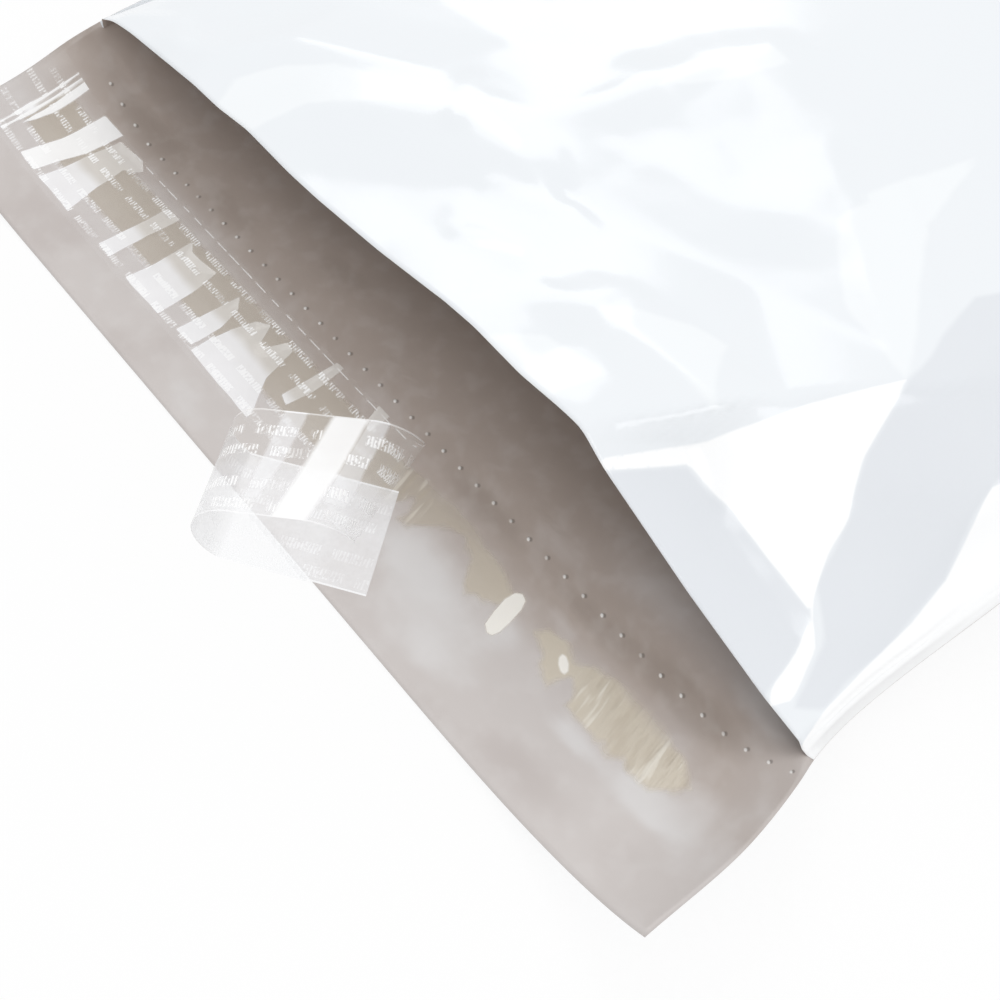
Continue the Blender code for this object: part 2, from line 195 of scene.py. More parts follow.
def panel_net():
    """Heights of the front panel on a 1 mm net: flat facets between the folds, and low ridges."""
    touch = 1e-6
    hems = tuple((u, v, float(back_height(u, v))) for u, v in HEMS)
    points = LIP + CORNER + CROWN + hems
    index = {p[:2]: k for k, p in enumerate(points)}
    creases = [(index[a], index[b]) for a, b in CREASES]
    _, _, faces, origin, _, _ = delaunay_2d_cdt([Vector(p[:2]) for p in points], creases, [], 0, touch)
    u, v = np.meshgrid(np.arange(-NET_SIDE, NET_SIDE + 1.0), np.arange(0, NET_END + 1.0))
    height = np.full(u.shape, np.nan)
    for face in faces:
        (x0, y0, z0), (x1, y1, z1), (x2, y2, z2) = (points[origin[k][0]] for k in face)
        area = (x1 - x0) * (y2 - y0) - (x2 - x0) * (y1 - y0)
        b1 = ((u - x0) * (y2 - y0) - (x2 - x0) * (v - y0)) / area
        b2 = ((x1 - x0) * (v - y0) - (u - x0) * (y1 - y0)) / area
        inside = (b1 > -touch) & (b2 > -touch) & (b1 + b2 < 1 + touch)
        height = np.where(inside, z0 + b1 * (z1 - z0) + b2 * (z2 - z0), height)
    height = np.where(np.isnan(height), back_height(u, v), height)
    for crest, rise, beyond, before in RIDGES:
        height += rise * ridge(u, v, np.array(crest, float), beyond, before)
    for _ in range(SMOOTHINGS):
        height[:, 1:-1] = (height[:, :-2] + 2 * height[:, 1:-1] + height[:, 2:]) / 4
        height[1:-1] = (height[:-2] + 2 * height[1:-1] + height[2:]) / 4
    return height


net = panel_net()


def front_height(u, v):
    """Inner face of the front panel, closing onto the back panel at the welds and the bottom."""
    rows, columns = net.shape
    across = np.clip(u + NET_SIDE, 0, columns - 1.001)
    along = min(max(v, 0), rows - 1.001)
    i, j = across.astype(int), int(along)
    s, t = across - i, along - j
    top = ((net[j, i] * (1 - s) + net[j, i + 1] * s) * (1 - t)
           + (net[j + 1, i] * (1 - s) + net[j + 1, i + 1] * s) * t)
    back = back_height(u, v)
    to_weld, to_fold = INNER - np.abs(u), BAG_LENGTH - v
    room = np.clip(to_weld / WELD_ROOM, 0, 1) * np.clip(to_fold / FOLD_ROOM, 0, 1)
    least = LEAST_SLOPE * np.clip(to_weld, 0, LEAST_ACROSS) * np.clip(to_fold / LEAST_ALONG, 0, 1)
    gap = PANEL_GAP * np.clip(to_fold / GAP_ALONG, 0, 1)
    return back + np.maximum((top - back) * room, least) + gap


def line_across(v, us, height):
    """Points of one line across the bag. The film keeps its length between the side edges, and the
    two panels share one spacing, so that they stay over each other."""
    dense = np.linspace(-HALF_WIDTH, HALF_WIDTH, STEPS_ACROSS + 1)
    step = dense[1] - dense[0]
    rise = np.diff(back_height(dense, v)) ** 2
    if v >= 0:
        rise = (rise + np.diff(front_height(dense, v)) ** 2) / 2
    least_run = 0.2 * step
    run = np.sqrt(np.maximum(step ** 2 - rise, least_run ** 2))
    x = np.concatenate([[0], np.cumsum(run)])
    left, right = through(LEFT_SIDE, v), through(RIGHT_SIDE, v)
    x = left + x * (right - left) / x[-1]
    y = v * FLAP_REACH if v < 0 else v
    us = np.asarray(us, float)
    return np.stack([np.interp(us, dense, x), np.full(us.shape, y), height(us, v)], -1)


# The middle of the mouth, from which u and v are counted, in the row frame: worked out from the
# left end of the flap and from the bottom fold
film_low, film_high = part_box("mailer_film")
MOUTH = np.array([film_low[0] - LEFT_SIDE[0][1] * MM, film_high[1] - BAG_LENGTH * MM, 0.0])


def depth_in(outlines, u, v):
    """How deep inside the outlines each place lies, in mm, and less than 0 outside them."""
    far = 9.0
    deepest = np.full(u.shape, -far)
    for outline in outlines:
        corners = np.array(outline, float)
        inside = np.zeros(u.shape, bool)
        near = np.full(u.shape, far)
        for a, b in zip(corners, np.roll(corners, -1, axis=0)):
            near = np.minimum(near, from_line(u, v, a, b)[0])
            crossing = (a[1] > v) != (b[1] > v)
            run = b - a
            inside ^= crossing & (u < a[0] + (v - a[1]) * run[0] / (run[1] if run[1] else 1))
        deepest = np.maximum(deepest, np.where(inside, near, -near))
    return deepest


def grid_sheet(name, columns, rows, place, flat, fields):
    """A sheet of columns x rows cells: each corner is moved to its place. Its flat position on the
    sheet, in metres, is kept as the sheet's UV, and the named fields as its attributes."""
    bm = bmesh.new()
    bmesh.ops.create_grid(bm, x_segments=columns, y_segments=rows, size=1)
    bm.verts.ensure_lookup_table()
    for k, vert in enumerate(bm.verts):
        j, i = divmod(k, columns + 1)
        vert.co = place[j, i]
    for field, values in fields.items():
        kept = bm.verts.layers.float.new(field)
        for vert, value in zip(bm.verts, values.ravel()):
            vert[kept] = float(value)
    layer = bm.loops.layers.uv.new("flat")
    for face in bm.faces:
        face.smooth = True
        for loop in face.loops:
            j, i = divmod(loop.vert.index, columns + 1)
            loop[layer].uv = flat[j, i]
    mesh = bpy.data.meshes.new(name)
    bm.to_mesh(mesh)
    bm.free()
    piece = bpy.data.objects.new(name, mesh)
    bpy.context.scene.collection.objects.link(piece)
    return piece


film_us = np.linspace(-HALF_WIDTH, HALF_WIDTH, FILM_COLUMNS + 1)
back_vs = np.concatenate([np.arange(-FLAP_DEPTH, BACK_WIDENS, FLAP_SPACING),
                          np.arange(BACK_WIDENS, BACK_ENDS, BACK_SPACING)])
front_vs = np.concatenate([np.arange(FRONT_ENDS, FRONT_WIDENS, -FRONT_SPACING),
                           np.arange(FRONT_WIDENS, 0, -LIP_SPACING), [0.0]])
fold = line_across(BAG_LENGTH, film_us, back_height)
fold[:, 2] += FOLD_LIFT
web = np.array([line_across(v, film_us, back_height) for v in back_vs] + [fold]
               + [line_across(v, film_us, front_height) for v in front_vs])

# Distance along the web from the mouth's line on the back panel, round the fold to the lip
reach = np.concatenate([back_vs, [BAG_LENGTH], 2 * BAG_LENGTH - front_vs])
film_u, film_reach = np.meshgrid(film_us, reach)
OFF_PANEL = 999
front_v = np.where(film_reach < BAG_LENGTH, OFF_PANEL, 2 * BAG_LENGTH - film_reach)
sheen_shade_spots = sum(strength * np.exp(-((film_u - u) / wide) ** 2 - ((film_reach - v) / deep) ** 2)
             for u, v, wide, deep, strength in SHEEN_SHADE_SPOTS)
film = grid_sheet("film_bag", FILM_COLUMNS, len(reach) - 1, web * MM + MOUTH,
                  np.stack([film_u, film_reach], -1) * MM,
                  {"painted_highlight": depth_in(HIGHLIGHT_FACETS, film_u, front_v),
                   "painted_shade": depth_in(SHADED_FACETS, film_u, front_v),
                   "painted_light": depth_in(SHEEN_FACETS, film_u, front_v),
                   "sheen_cloud": sheen_shade_spots,
                   "prick_count": np.interp(film_u, *np.transpose(PRICK_COUNT)),
                   "prick_row": film_reach + np.interp(film_u, *np.transpose(PRICK_INSET))})

# The web gets its thickness outwards. The new outer face is the white one
wall = film.modifiers.new("wall", "SOLIDIFY")
wall.thickness = FILM * MM
wall.offset = -1
wall.material_offset = 1
wall.material_offset_rim = 0


class Shade:
    """A socket of a material, on which sums read as sums."""

    def __init__(self, tree, socket):
        self.tree = tree
        self.socket = socket

    def node(self, kind, inputs=None, out=0, **settings):
        """Adds a node: its settings first, then the values or links of its sockets."""
        made = self.tree.nodes.new("ShaderNode" + kind)
        for name, value in settings.items():
            setattr(made, name, value)
        for name, value in (inputs or {}).items():
            if isinstance(value, Shade):
                self.tree.links.new(value.socket, made.inputs[name])
            else:
                made.inputs[name].default_value = value
        return Shade(self.tree, made.outputs[out])

    def maths(self, operation, *values):
        return self.node("Math", dict(enumerate(values)), operation=operation)

    def __add__(self, other):
        return self.maths("ADD", self, other)

    __radd__ = __add__

    def __sub__(self, other):
        return self.maths("SUBTRACT", self, other)

    def __rsub__(self, other):
        return self.maths("SUBTRACT", other, self)

    def __neg__(self):
        return self.maths("MULTIPLY", self, -1)

    def __mul__(self, other):
        return self.maths("MULTIPLY", self, other)

    __rmul__ = __mul__

    def __truediv__(self, other):
        return self.maths("DIVIDE", self, other)

    def __abs__(self):
        return self.maths("ABSOLUTE", self)

    def most(self, *others):
        """The highest of this and the others."""
        highest = self
        for other in others:
            highest = self.maths("MAXIMUM", highest, other)
        return highest

    def away(self, other):
        """Distance from the middle, of a place this far to one side and the other far along."""
        return self.maths("SQRT", self * self + other * other)

    def past(self, start, end):
        """0 up to the start, rising smoothly to 1 at the end."""
        return self.node("MapRange", {"Value": self, "From Min": start, "From Max": end},
                         interpolation_type="SMOOTHSTEP")

    def within(self, low, high, soft):
        """1 between low and high, falling to 0 over soft outside them."""
        return self.past(low - soft, low) * (1 - self.past(high, high + soft))

    def mix(self, dark, light):
        """From one colour or value to another, by this."""
        return self.node("Mix", {"Factor": self, 6: dark, 7: light}, out=2, data_type="RGBA")

    def flat_place(self):
        """The place on the flat sheet: as a vector in metres, and across and along in mm."""
        flat = self.node("UVMap", uv_map="flat")
        across, along = self.node("SeparateXYZ", {0: flat}).socket.node.outputs[:2]
        return flat, Shade(self.tree, across) * 1000, Shade(self.tree, along) * 1000

    def noise(self, scale, detail):
        """Noise at this place, with so many lumps to the metre."""
        return self.node("TexNoise", {"Vector": self, "Scale": scale, "Detail": detail})

    def field(self, name):
        """A field kept on the sheet's corners."""
        return self.node("Attribute", out="Fac", attribute_name=name)

    def bump(self, height, distance, strength):
        """Relief of this height, for the Normal socket."""
        return self.node("Bump", {"Height": height, "Distance": distance, "Strength": strength})


def finish(name, rough, **fixed):
    """A new material: its Principled shader, and a Shade to start its sums from."""
    made = bpy.data.materials.new(name)
    made.use_nodes = True
    tree = made.node_tree
    shader = tree.nodes["Principled BSDF"]
    shader.inputs["Roughness"].default_value = rough
    for socket, value in fixed.items():
        shader.inputs[socket.replace("_", " ")].default_value = value
    return made, shader, Shade(tree, None)


def wire(shader, socket, value):
    """Links a value to a socket of the Principled shader."""
    shader.id_data.links.new(value.socket, shader.inputs[socket])


# Inside of the film: satin grey. It carries painted shade in the mouth and painted light towards the
# flap's free edge and its right end, cloudy painted sheen and painted shade, and at each prick a
# painted highlight with a painted shadow beside it. Colours are for the shaded mouth, then the lit parts
GREY_SHADED_AND_LIT = (0.44, 0.375, 0.335, 1), (0.585, 0.545, 0.527, 1)
# Painted sheen and painted shade of the grey: in the mouth, then in the lit parts
GREY_SHEEN = (0.56, 0.51, 0.485, 1), (0.69, 0.675, 0.67, 1)
GREY_SHADE = (0.33, 0.275, 0.24, 1), (0.49, 0.44, 0.42, 1)
# Specks of the film's own tone, then the painted shadow beside each prick and the painted highlight on it
GREY_SPECKS, PRICK_SHADE, PRICK_HIGHLIGHT = (0.72, 0.70, 0.69, 1), (0.10, 0.09, 0.08, 1), (0.88, 0.87, 0.85, 1)
# Place of each prick's painted shadow, aside and along from its painted highlight, in mm
SHADE_ASIDE, SHADE_ALONG = 0.5, 0.35

grey_inside, shader, s = finish("grey_inside", 0.36)
flat, across, along = s.flat_place()
sheen_cloud = flat.noise(24.0, 2.0)
broad = flat.noise(9.0, 1.0)
fine = flat.noise(160.0, 2.0)
count = s.field("prick_count")
off_prick = (count - s.maths("ROUND", count)) * PRICK_PITCH
off_row = s.field("prick_row")
in_row = count.within(-0.4, LAST_PRICK + 0.4, 0.1)
uneven = flat.noise(170.0, 2.0).past(0.25, 0.7) * 0.7 + 0.3
# Painted highlight on each prick, whose spot also raises the prick's relief, and the painted shadow beside
# it
prick_relief_and_highlight = (1 - off_prick.away(off_row).past(0.2, 0.55)) * in_row * uneven
prick_shade = (1 - (off_prick - SHADE_ASIDE).away(off_row - SHADE_ALONG).past(0.25, 0.6)) * in_row
# Painted shade in the mouth, giving way to painted light towards the flap's free edge and the mouth's right
# end
from_edge = along + (sheen_cloud - 0.5) * 26 + (broad - 0.5) * 22
painted_right_light = (across.past(104.0, 124.0) * 0.55).most(across.past(50.0, 115.0) * along.past(-5.0, 9.0))
painted_light = (1 - from_edge.past(-27.0, -8.0)).most(painted_right_light)
# Painted sheen where the clouds add up above 0, painted shade where they fall below
painted_sheen_and_shade = s.field("sheen_cloud") * 1.3 + (sheen_cloud - 0.5) * 2.2 + (fine - 0.5) * 0.5
base = painted_light.mix(*GREY_SHADED_AND_LIT)
base = (painted_sheen_and_shade.past(0.1, 1.1) * 0.8).mix(base, painted_light.mix(*GREY_SHEEN))
base = ((-painted_sheen_and_shade).past(0.05, 1.0) * 0.6).mix(base, painted_light.mix(*GREY_SHADE))
base = (fine.past(0.45, 0.7) * 0.12).mix(base, GREY_SPECKS)
base = (prick_shade * 0.5).mix(base, PRICK_SHADE)
base = prick_relief_and_highlight.mix(base, PRICK_HIGHLIGHT)
wire(shader, "Base Color", base)
wire(shader, "Normal", s.bump(sheen_cloud * 2.4 + fine * 0.2 + prick_relief_and_highlight * 0.3, 0.001, 0.5))

# Outside of the film: glossy bluish white, with painted highlights, painted shade and painted sheen on
# facets of the front panel, their outlines wavering
BLUISH_WHITE = (0.80, 0.83, 0.86, 1), (0.83, 0.855, 0.88, 1)
# Painted highlight and painted sheen on facets, then painted shade on facets
PAINTED_HIGHLIGHT_WHITE, PAINTED_SHEEN_WHITE = (0.96, 0.965, 0.97, 1), (0.89, 0.915, 0.93, 1)
PAINTED_SHADE_WHITE = (0.74, 0.765, 0.80, 1)

white_outside, shader, s = finish("white_outside", 0.16, Specular_IOR_Level=0.3,
                                  Coat_Weight=0.15, Coat_Roughness=0.08)
flat = s.node("UVMap", uv_map="flat")
waver = (flat.noise(70.0, 2.0) - 0.5) * 3
base = flat.noise(9.0, 2.0).mix(*BLUISH_WHITE)
base = ((s.field("painted_light") + waver).past(-0.6, 1.2) * 0.6).mix(base, PAINTED_SHEEN_WHITE)
base = (s.field("painted_shade") + waver * 0.5).past(-0.5, 1.0).mix(base, PAINTED_SHADE_WHITE)
base = (s.field("painted_highlight") + waver * 0.3).past(-0.3, 0.3).mix(base, PAINTED_HIGHLIGHT_WHITE)
wire(shader, "Base Color", base)
wire(shader, "Normal", s.bump(flat.noise(45.0, 4.0), 0.0006, 0.3))

film.data.materials.append(grey_inside)
film.data.materials.append(white_outside)
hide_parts("mailer_film")
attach(film, "root")

# Adhesive: a band of cream pressure-sensitive adhesive coated across the flap. Where the liner has
# been peeled off it is torn, wrinkled and partly pulled away
GAP, BAND_WIDTH, BAND_CENTRE, BAND_THICK, BAND_HALF = 0.06, 19.0, 20.5, 0.15, 118.0
BAND_CELL = 0.5    # mm
PEEL_AT = 19.2
# What is left of the band on the flap, and two thick ivory lumps in it: corners across, along
LEFT_ON = (
    ((-119, -15), (19, -15), (27, -13.5), (36, -12.8), (46, -14.5), (54, -16), (59, -18.5), (58, -20.5),
     (55, -23.5), (50, -26), (47.5, -24.5), (44.5, -20), (41, -17.5), (37, -18.5), (33.5, -22), (31, -25.5),
     (28, -25), (26.5, -20), (24.5, -24), (19, -28), (10, -29), (-119, -29)),
    ((65.5, -20), (67, -17), (71, -16), (75, -17.5), (79, -15), (86, -13), (97, -14), (105, -16.5),
     (109, -20), (107, -23), (103, -26), (98, -27), (95.5, -25.5), (93, -28), (90, -26), (84, -26.5),
     (80, -26), (79, -22.5), (77, -21.5), (75, -26), (72, -26), (69.5, -22.5)),
)
IVORY = (
    ((59.1, -27.6), (57.4, -26.6), (56.6, -23.5), (56.2, -20), (56.7, -17.4), (57.9, -16.4), (59.4, -16.9),
     (60.2, -19), (60.5, -22.5), (60.6, -25.5), (60.1, -27.1)),
    ((72.4, -18.9), (73.3, -18.7), (74.7, -19.4), (75.6, -20.5), (75.6, -21.5), (74.7, -21.7), (73.3, -21),
     (72.4, -19.9)),
)


def normals(grid):
    """Directions square to a sheet, at the corners of its grid."""
    across, along = np.gradient(grid, axis=1), np.gradient(grid, axis=0)
    n = np.cross(across, along)
    return n / np.linalg.norm(n, axis=-1, keepdims=True)


band_columns, band_rows = round(2 * BAND_HALF / BAND_CELL), round(BAND_WIDTH / BAND_CELL)
band_us = np.linspace(-BAND_HALF, BAND_HALF, band_columns + 1)
band_vs = np.linspace(-BAND_CENTRE - BAND_WIDTH / 2, -BAND_CENTRE + BAND_WIDTH / 2, band_rows + 1)
band = np.array([line_across(v, band_us, back_height) for v in band_vs])
band += normals(band) * GAP
band_u, band_v = np.meshgrid(band_us, band_vs)
adhesive = grid_sheet("adhesive_band", band_columns, band_rows, band * MM + MOUTH,
                      np.stack([band_u, band_v], -1) * MM,
                      {"left_on": depth_in(LEFT_ON, band_u, band_v),
                       "ivory": depth_in(IVORY, band_u, band_v)})

# The film is bare where the band came off. A rim is kept there, for the band's edge to fade in
RIM = 1
bm = bmesh.new()
bm.from_mesh(adhesive.data)
depth, lump_depth = bm.verts.layers.float["left_on"], bm.verts.layers.float["ivory"]
bare = [f for f in bm.faces if all(v[depth] < -RIM and v[lump_depth] < -RIM for v in f.verts)]
bmesh.ops.delete(bm, geom=bare, context="FACES")
bm.to_mesh(adhesive.data)
bm.free()

CREAM = (0.42, 0.36, 0.295, 1), (0.61, 0.545, 0.435, 1)    # under the liner, then bare
MOTTLE, CREASE = (0.66, 0.61, 0.53, 1), (0.82, 0.78, 0.69, 1)
FURROW, LUMP = (0.50, 0.43, 0.33, 1), (0.90, 0.875, 0.82, 1)

cream, shader, s = finish("cream_adhesive", 0.28)
flat, across, along = s.flat_place()
mottle = flat.noise(90.0, 3.0)
lobes = flat.noise(230.0, 1.0)
pulled = s.node("CombineXYZ", {0: across * 0.45 + along * 0.06, 1: along * 0.07 + mottle * 0.25})
wrinkle = pulled.noise(1.0, 2.0)
wrinkled = across.past(76.0, 81.0).most(across.within(19.0, 29.0, 3.0) * 0.7)
crease = wrinkle.past(0.56, 0.70) * wrinkled
furrow = wrinkle.past(0.5, 0.36) * wrinkled
lump = s.field("ivory").past(-0.3, 0.2)
base = across.past(15.0, 80.0).mix(*CREAM)
base = (mottle * 0.35).mix(base, MOTTLE)
base = (crease * 0.8).mix(base, CREASE)
base = (furrow * 0.5).mix(base, FURROW)
base = lump.mix(base, LUMP)
wire(shader, "Base Color", base)
edge = s.field("left_on") + (mottle - 0.5) * 1.5 + (lobes - 0.5) * across.past(15.0, 24.0) * 3
faded = 1 - (along + (mottle - 0.5) * 4).past(-17.5, -12.5) * across.past(14.0, 24.0) * 0.75
wire(shader, "Alpha", (edge.past(-0.6, 1.6) * faded * 0.85).most(lump))
wire(shader, "Normal", s.bump(mottle * 0.5 + wrinkle * wrinkled * 2.0, 0.0008, 0.6))

# A thin see-through coating throws no shadow on what it lies on
adhesive.visible_shadow = adhesive.visible_diffuse = False
adhesive.data.materials.append(cream)
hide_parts("adhesive_strip")
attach(adhesive, "root")

# Release liner: a clear film strip with lines of small white printed strokes. It is stuck on the
# left half of the band with pockets of air under it, and peeled from there on, rolled back over
# itself. Places on it are s along it from the middle of the bag, and q across it
LINER_WIDTH, LINER_LENGTH, LINER_THICK, LINER_CENTRE = 25.4, 247.0, 0.05, 23.6
LINER_ROWS, STUCK_COLUMNS, LOOSE_COLUMNS = 52, 290, 200

# The roll: angle of each bend's line to the strip, its radius, how many degrees it turns, and the
# flat run between them. The second slant sets in a little before its bend
FIRST_BEND = {"angle": -68.8, "radius": 8.25, "turn": 181.5}
SECOND_BEND = {"angle": -85.7, "radius": 8.5, "turn": 178.5}
TOP_RUN, SLANT_EASE = 17.0, 11
STUCK_END, LOOSE_START = PEEL_AT - 9, PEEL_AT - 4
TAIL_OFF_FLAP, TAIL_OFF_TABLE = 1.1, 0.5

# Pockets of air under the liner, each with a painted reflection on it, and the painted glare on the
# liner: corners across, along
AIR_HEIGHT, AIR_RIM, AIR_SLOPE = 0.2, 0.5, 3
GLARE_POCKETS = (
    ((-119.7, -9), (-118.9, -9), (-119.1, -35), (-119.9, -35)),
    ((-118.2, -10), (-117.4, -10), (-117.6, -35), (-118.4, -35)),
    ((-117.0, -10), (-114.6, -10), (-114.8, -22), (-116.6, -30)),
    ((-107, -11.5), (-99.5, -11), (-101, -22), (-104, -34.5), (-110, -34.5), (-108, -24)),
)
AIR_POCKETS_WITH_REFLECTION = GLARE_POCKETS + (
    ((-98.5, -12.5), (-90, -11.5), (-87, -13.5), (-88.5, -15.5), (-91, -17), (-90.5, -25), (-88.5, -34.8),
     (-101.5, -34.8), (-100, -22)),
    ((-73.5, -15.5), (-68.5, -15), (-69.5, -24), (-69.8, -34.5), (-75, -34.5), (-74, -22)),
    ((-61, -16.5), (-58.5, -18.5), (-55, -18.3), (-49.5, -17.5), (-48.6, -24), (-48.3, -35), (-62, -35),
     (-61.5, -28)),
    ((-40.5, -17), (-37.5, -20), (-36, -26), (-36.2, -34), (-42, -34), (-41.5, -26)),
    ((-34, -24), (-32, -18.5), (-29, -16.5), (-27, -21), (-25, -21.5), (-22.5, -16.5), (-20, -17),
     (-18, -26), (-13, -33), (-12, -35.5), (-35, -35), (-35, -30)),
    ((-12.5, -26), (-10.5, -11), (-8.2, -10.5), (-8.5, -20), (-9.5, -27)),
    ((4.5, -9.5), (8.5, -9.8), (8, -17), (5.5, -16)),
)
GLARE = GLARE_POCKETS + (
    ((50.5, -10.4), (42.8, -10.4), (46, -23.6), (50.5, -37), (58, -37), (54, -23.6)),
)
SOFT_GLARE = (
    ((60.5, -10.4), (55.5, -10.4), (58, -23.6), (61, -32.6), (64, -32.6), (62, -20.6)),
    ((42.6, -10.4), (38.5, -10.4), (41, -20.6), (43.5, -31.6), (48, -31.6), (45.5, -20.6)),
)


def bend(points, flat, at, angle, radius, turn):
    """Rolls what lies past a slanting line up and over, and carries the rest round with it."""
    a = math.radians(angle)
    axis = np.array([math.cos(a), math.sin(a), 0])
    across = np.array([-math.sin(a), math.cos(a), 0])
    foot = np.array([at, 0, 0])
    past = (flat - foot[:2]) @ across[:2]
    roll = np.clip(past / radius, 0, math.radians(turn))
    rest = points - foot - np.outer(roll * radius, across)
    flat_on, height = rest @ across, rest[:, 2]
    out = radius * np.sin(roll) + flat_on * np.cos(roll) - height * np.sin(roll)
    up = radius * (1 - np.cos(roll)) + flat_on * np.sin(roll) + height * np.cos(roll)
    bent = foot + np.outer(rest @ axis, axis) + np.outer(out, across) + np.outer(up, [0, 0, 1])
    return np.where(past[:, None] > 0, bent, points)


lie = GAP * 2 + BAND_THICK
first_slant, second_slant = [1 / math.tan(math.radians(b["angle"])) for b in (FIRST_BEND, SECOND_BEND)]
first_arc = FIRST_BEND["radius"] * math.radians(FIRST_BEND["turn"])
second_at = PEEL_AT + (first_arc + TOP_RUN) / abs(math.sin(math.radians(FIRST_BEND["angle"])))
qs = np.linspace(-LINER_WIDTH / 2, LINER_WIDTH / 2, LINER_ROWS)

# Stuck half: it follows the flap, and rises over the pockets of air
stuck_s, stuck_q = np.meshgrid(np.linspace(-HALF_WIDTH, STUCK_END, STUCK_COLUMNS), qs)
on_band = np.array([line_across(q - LINER_CENTRE, stuck_s[0], back_height) for q in qs])
air_and_reflection = depth_in(AIR_POCKETS_WITH_REFLECTION, stuck_s, stuck_q - LINER_CENTRE)
lift = np.clip((air_and_reflection + AIR_RIM) / AIR_SLOPE, 0, 1) ** 0.7 * AIR_HEIGHT
stuck = on_band + normals(on_band) * (lie + LINER_THICK + lift)[..., None]

# Loose half: flat at first, on columns that slant with the bends, then bent over at each of them.
# The tail that ends up below is kept off the flap and the table
loose_line = np.linspace(LOOSE_START, LINER_LENGTH - HALF_WIDTH, LOOSE_COLUMNS)
slant = np.interp(loose_line, (PEEL_AT, second_at - SLANT_EASE, second_at),
                  (first_slant, first_slant, second_slant))
loose = []
for q in qs:
    flat_line = np.stack([loose_line + slant * q, np.full(LOOSE_COLUMNS, q)], -1)
    place = np.column_stack([flat_line, np.full(LOOSE_COLUMNS, LINER_THICK)])
    place = bend(place, flat_line, second_at, **SECOND_BEND)
    place = bend(place, flat_line, PEEL_AT, **FIRST_BEND)
    loose.append(place + (0, -LINER_CENTRE * FLAP_REACH, lie + FILM))
loose = np.array(loose)
flap_height = back_height(loose[..., 0], loose[..., 1].mean())
below = np.where(loose[..., 1] > -FLAP_DEPTH, flap_height + TAIL_OFF_FLAP, TAIL_OFF_TABLE)
loose[..., 2] = np.maximum(loose[..., 2], np.where(loose_line > second_at, below, 0))

strip = np.concatenate([stuck, loose], axis=1)
strip_s = np.concatenate([stuck_s, [loose_line + slant * q for q in qs]], axis=1)
strip_q = np.broadcast_to(qs[:, None], strip_s.shape)
strip_v = strip_q - LINER_CENTRE
liner = grid_sheet("clear_liner", strip.shape[1] - 1, strip.shape[0] - 1, strip * MM + MOUTH,
                   np.stack([strip_s, strip_q], -1) * MM,
                   {"air_and_reflection": depth_in(AIR_POCKETS_WITH_REFLECTION, strip_s, strip_v),
                    "glare": depth_in(GLARE, strip_s, strip_v),
                    "soft_glare": depth_in(SOFT_GLARE, strip_s, strip_v)})

# Colours of the clear film: the half nearer the mouth, then the half nearer the flap's edge
CLEAR = (0.78, 0.755, 0.72, 1), (0.93, 0.93, 0.945, 1)
# Frost of the tail, also the colour of the painted soft glare; then white of the print and of the painted
# glare and glints
TAIL_FROST_AND_GLARE, PRINT_AND_GLARE_WHITE = (0.93, 0.935, 0.95, 1), (0.98, 0.98, 0.98, 1)
# Print: place across the strip and start of each line, and spacing of its groups and strokes
PRINT_LINES = ((7.6, 0.0), (2.6, 4.3), (-5.4, 2.1), (-10.4, 6.6))
GROUP_PITCH, STROKE_PITCH, GLINT_PITCH = 11.3, 0.75, 5.3
MOST_OPAQUE = 0.97

clear, shader, s = finish("clear_liner", 0.1)
flat, across, side = s.flat_place()
specks = flat.noise(700.0, 2.0)
soft = flat.noise(80.0, 2.0)
peeled = across.past(PEEL_AT - 4, PEEL_AT + 6)
tail = across.past(second_at + 4, second_at + 12)
lines = 0
for row, start in PRINT_LINES:
    group = s.maths("FRACT", (across + start) / GROUP_PITCH).within(0.02, 0.78, 0.01)
    lines = (1 - (abs(side - row) - peeled * 0.35).past(0.7, 0.95)) * group + lines
blots = s.node("CombineXYZ", {0: across * 1.3, 1: side * 0.8}).noise(1.0, 2.0).past(0.40, 0.50)
strokes = s.maths("FRACT", across / STROKE_PITCH).within(0.2, 0.5, 0.2) * 0.75 + 0.25
printed = lines * strokes * blots * (soft.past(0.35, 0.55) * 0.5 + 0.5) * (1 - tail * 0.7)
# Painted glints: dashes along the stuck strip's upper edge, and light outlines on the loose strip's edges
broken = (s.maths("FRACT", across / GLINT_PITCH) * 0.5 + soft).past(0.6, 0.75)
glint = side.within(11.55, 11.75, 0.12) * broken * across.within(-95.0, 20.0, 1.0) * 0.7
edge_glint = abs(side).past(12.2, 12.45) * peeled * 0.5
ragged = (soft - 0.5) * 1.2
# Painted reflection in the pockets of air: whiter and more opaque film there
pocket_reflection = (s.field("air_and_reflection") + ragged).past(-0.15, 0.15)
# Painted glare on the glaring pockets and across the roll's top, and a paler painted glare beside it
shine = s.field("glare") + ragged * 0.5
glare = shine.past(-0.1, 0.25) * (1 - peeled) + shine.past(-0.8, 1.0) * peeled
pale_glare = (s.field("soft_glare") + ragged).past(-0.5, 0.5)
lower = (-side + soft * 2).past(0.5, 3.5)
base = lower.mix(*CLEAR)
base = pale_glare.most(tail).mix(base, TAIL_FROST_AND_GLARE)
base = printed.most(glint, edge_glint, glare).mix(base, PRINT_AND_GLARE_WHITE)
wire(shader, "Base Color", base)
tail_film = specks.past(0.35, 0.65) * 0.04 + soft.past(0.4, 0.6) * 0.08 + 0.42
opaque = pocket_reflection * (lower * 0.16 + 0.64) * (soft * 0.4 + 0.8) + printed * 0.7 + pale_glare * 0.35 + edge_glint + 0.05
opaque = opaque + peeled * (soft * 0.1 + 0.06) + tail * tail_film
opaque = opaque.most(glare * (soft * 0.2 + 0.8), glint)
wire(shader, "Alpha", s.maths("MINIMUM", opaque, MOST_OPAQUE))
wire(shader, "Normal", s.bump(soft + specks * 0.01, 0.0006, 0.3))

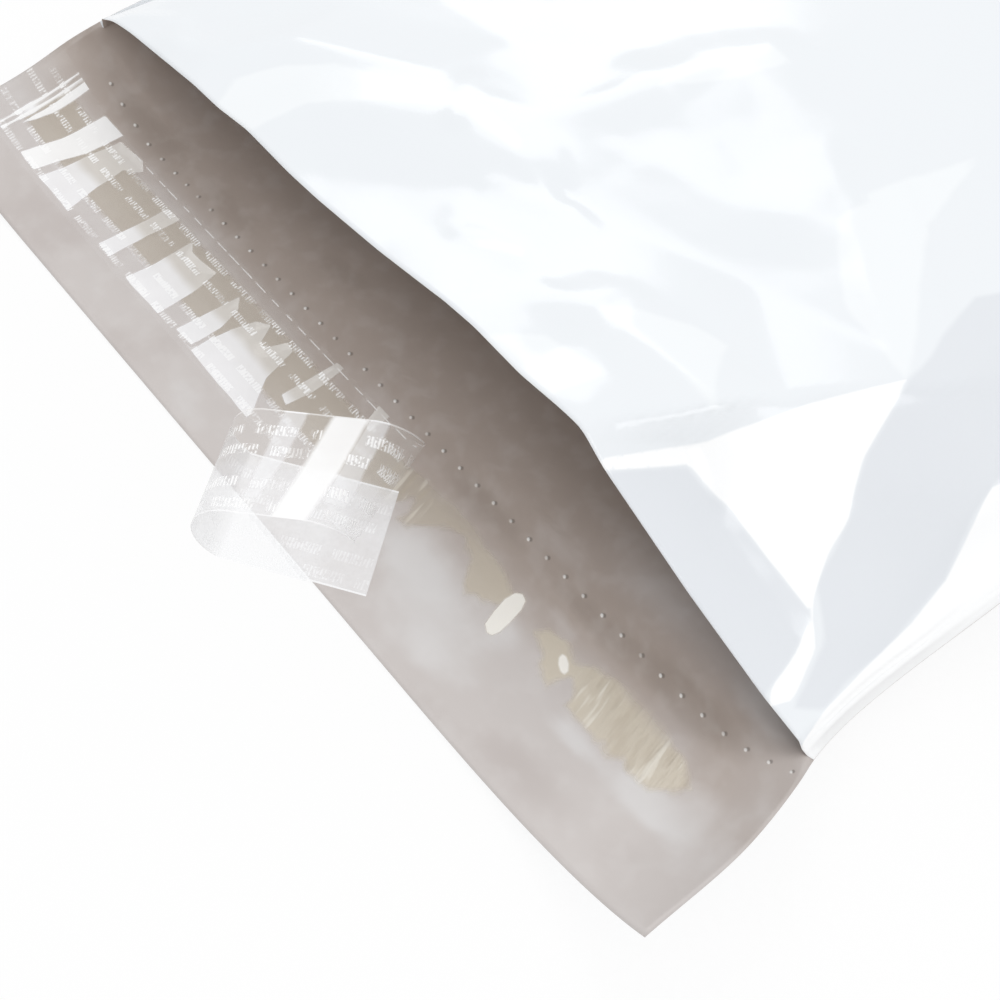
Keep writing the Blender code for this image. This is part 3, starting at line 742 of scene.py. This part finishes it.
# Clear film throws no shadow on what it lies on
liner.visible_shadow = liner.visible_diffuse = False
liner.data.materials.append(clear)
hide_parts("release_liner")
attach(liner, "root")

# Table: a plain white top, bright to the camera and half as bright to what mirrors it, which keeps
# a soft shadow under the bag
TABLE_HALF, TABLE_DROP = 3.0, 0.0005
bm = bmesh.new()
bmesh.ops.create_grid(bm, x_segments=1, y_segments=1, size=TABLE_HALF)
table_mesh = bpy.data.meshes.new("table_top")
bm.to_mesh(table_mesh)
bm.free()
table = bpy.data.objects.new("table_top", table_mesh)
bpy.context.scene.collection.objects.link(table)
table.location.z = -TABLE_DROP
white_table, shader, s = finish("white_table", 0.6)
shader.inputs["Base Color"].default_value = (0.9, 0.9, 0.9, 1)
to_camera = s.node("LightPath")
mirrored = Shade(s.tree, to_camera.socket.node.outputs["Is Glossy Ray"])
lit = s.node("Emission", {"Color": (1, 1, 1, 1), "Strength": 1.0})
glow = to_camera.most(mirrored * 0.5) * 0.85
blend = s.node("MixShader", {0: glow, 1: Shade(s.tree, shader.outputs[0]), 2: lit})
s.tree.links.new(blend.socket, s.tree.nodes["Material Output"].inputs["Surface"])
table.data.materials.append(white_table)

# Light: two soft boxes, one beyond the bag on its left and one at its right, and a plain pale room
ROOM_BRIGHTNESS = 0.92
BOXES_AIM = Vector((0, -0.1, 0))    # near the mouth of the bag
world = bpy.data.worlds.new("room")
bpy.context.scene.world = world
world.use_nodes = True
world.node_tree.nodes["Background"].inputs["Color"].default_value = (1, 1, 1, 1)
world.node_tree.nodes["Background"].inputs["Strength"].default_value = ROOM_BRIGHTNESS


def facing(azimuth, elevation):
    """For a thing that faces the bag from an angle: the direction back to it, and its turn."""
    a, e = math.radians(azimuth), math.radians(elevation)
    back = Vector((math.sin(a) * math.cos(e), -math.cos(a) * math.cos(e), math.sin(e)))
    right = Vector((math.cos(a), math.sin(a), 0))
    return back, Matrix((right, back.cross(right), back)).transposed().to_4x4()


def soft_box(name, azimuth, elevation, distance, size, power):
    """A square soft light, aimed at the bag."""
    lamp = bpy.data.lights.new(name, "AREA")
    lamp.size, lamp.energy = size, power
    box = bpy.data.objects.new(name, lamp)
    back, box.matrix_world = facing(azimuth, elevation)
    box.location = back * distance + BOXES_AIM
    bpy.context.scene.collection.objects.link(box)


soft_box("far_box", azimuth=231, elevation=38, distance=1.2, size=0.55, power=2.0)
soft_box("right_box", azimuth=75, elevation=43, distance=1.2, size=0.5, power=2.0)

# Camera: above the flap's right corner, looking down on the mouth. The distance and the point that
# it looks at are in mm, the point counted from the middle of the mouth
AZIMUTH, ELEVATION, DISTANCE, AIM = 50.87, 57.35, 291.33, (40.38, -5.46, 0)
lens = bpy.data.cameras.new("camera")
lens.sensor_width, lens.lens, lens.clip_start = 36, 50.33, 0.01
camera = bpy.data.objects.new("camera", lens)
bpy.context.scene.collection.objects.link(camera)
back, camera.matrix_world = facing(AZIMUTH, ELEVATION)
camera.location = (Vector(AIM) + back * DISTANCE) * MM + Vector(MOUTH)
bpy.context.scene.camera = camera
bpy.context.scene.view_settings.view_transform = "Standard"
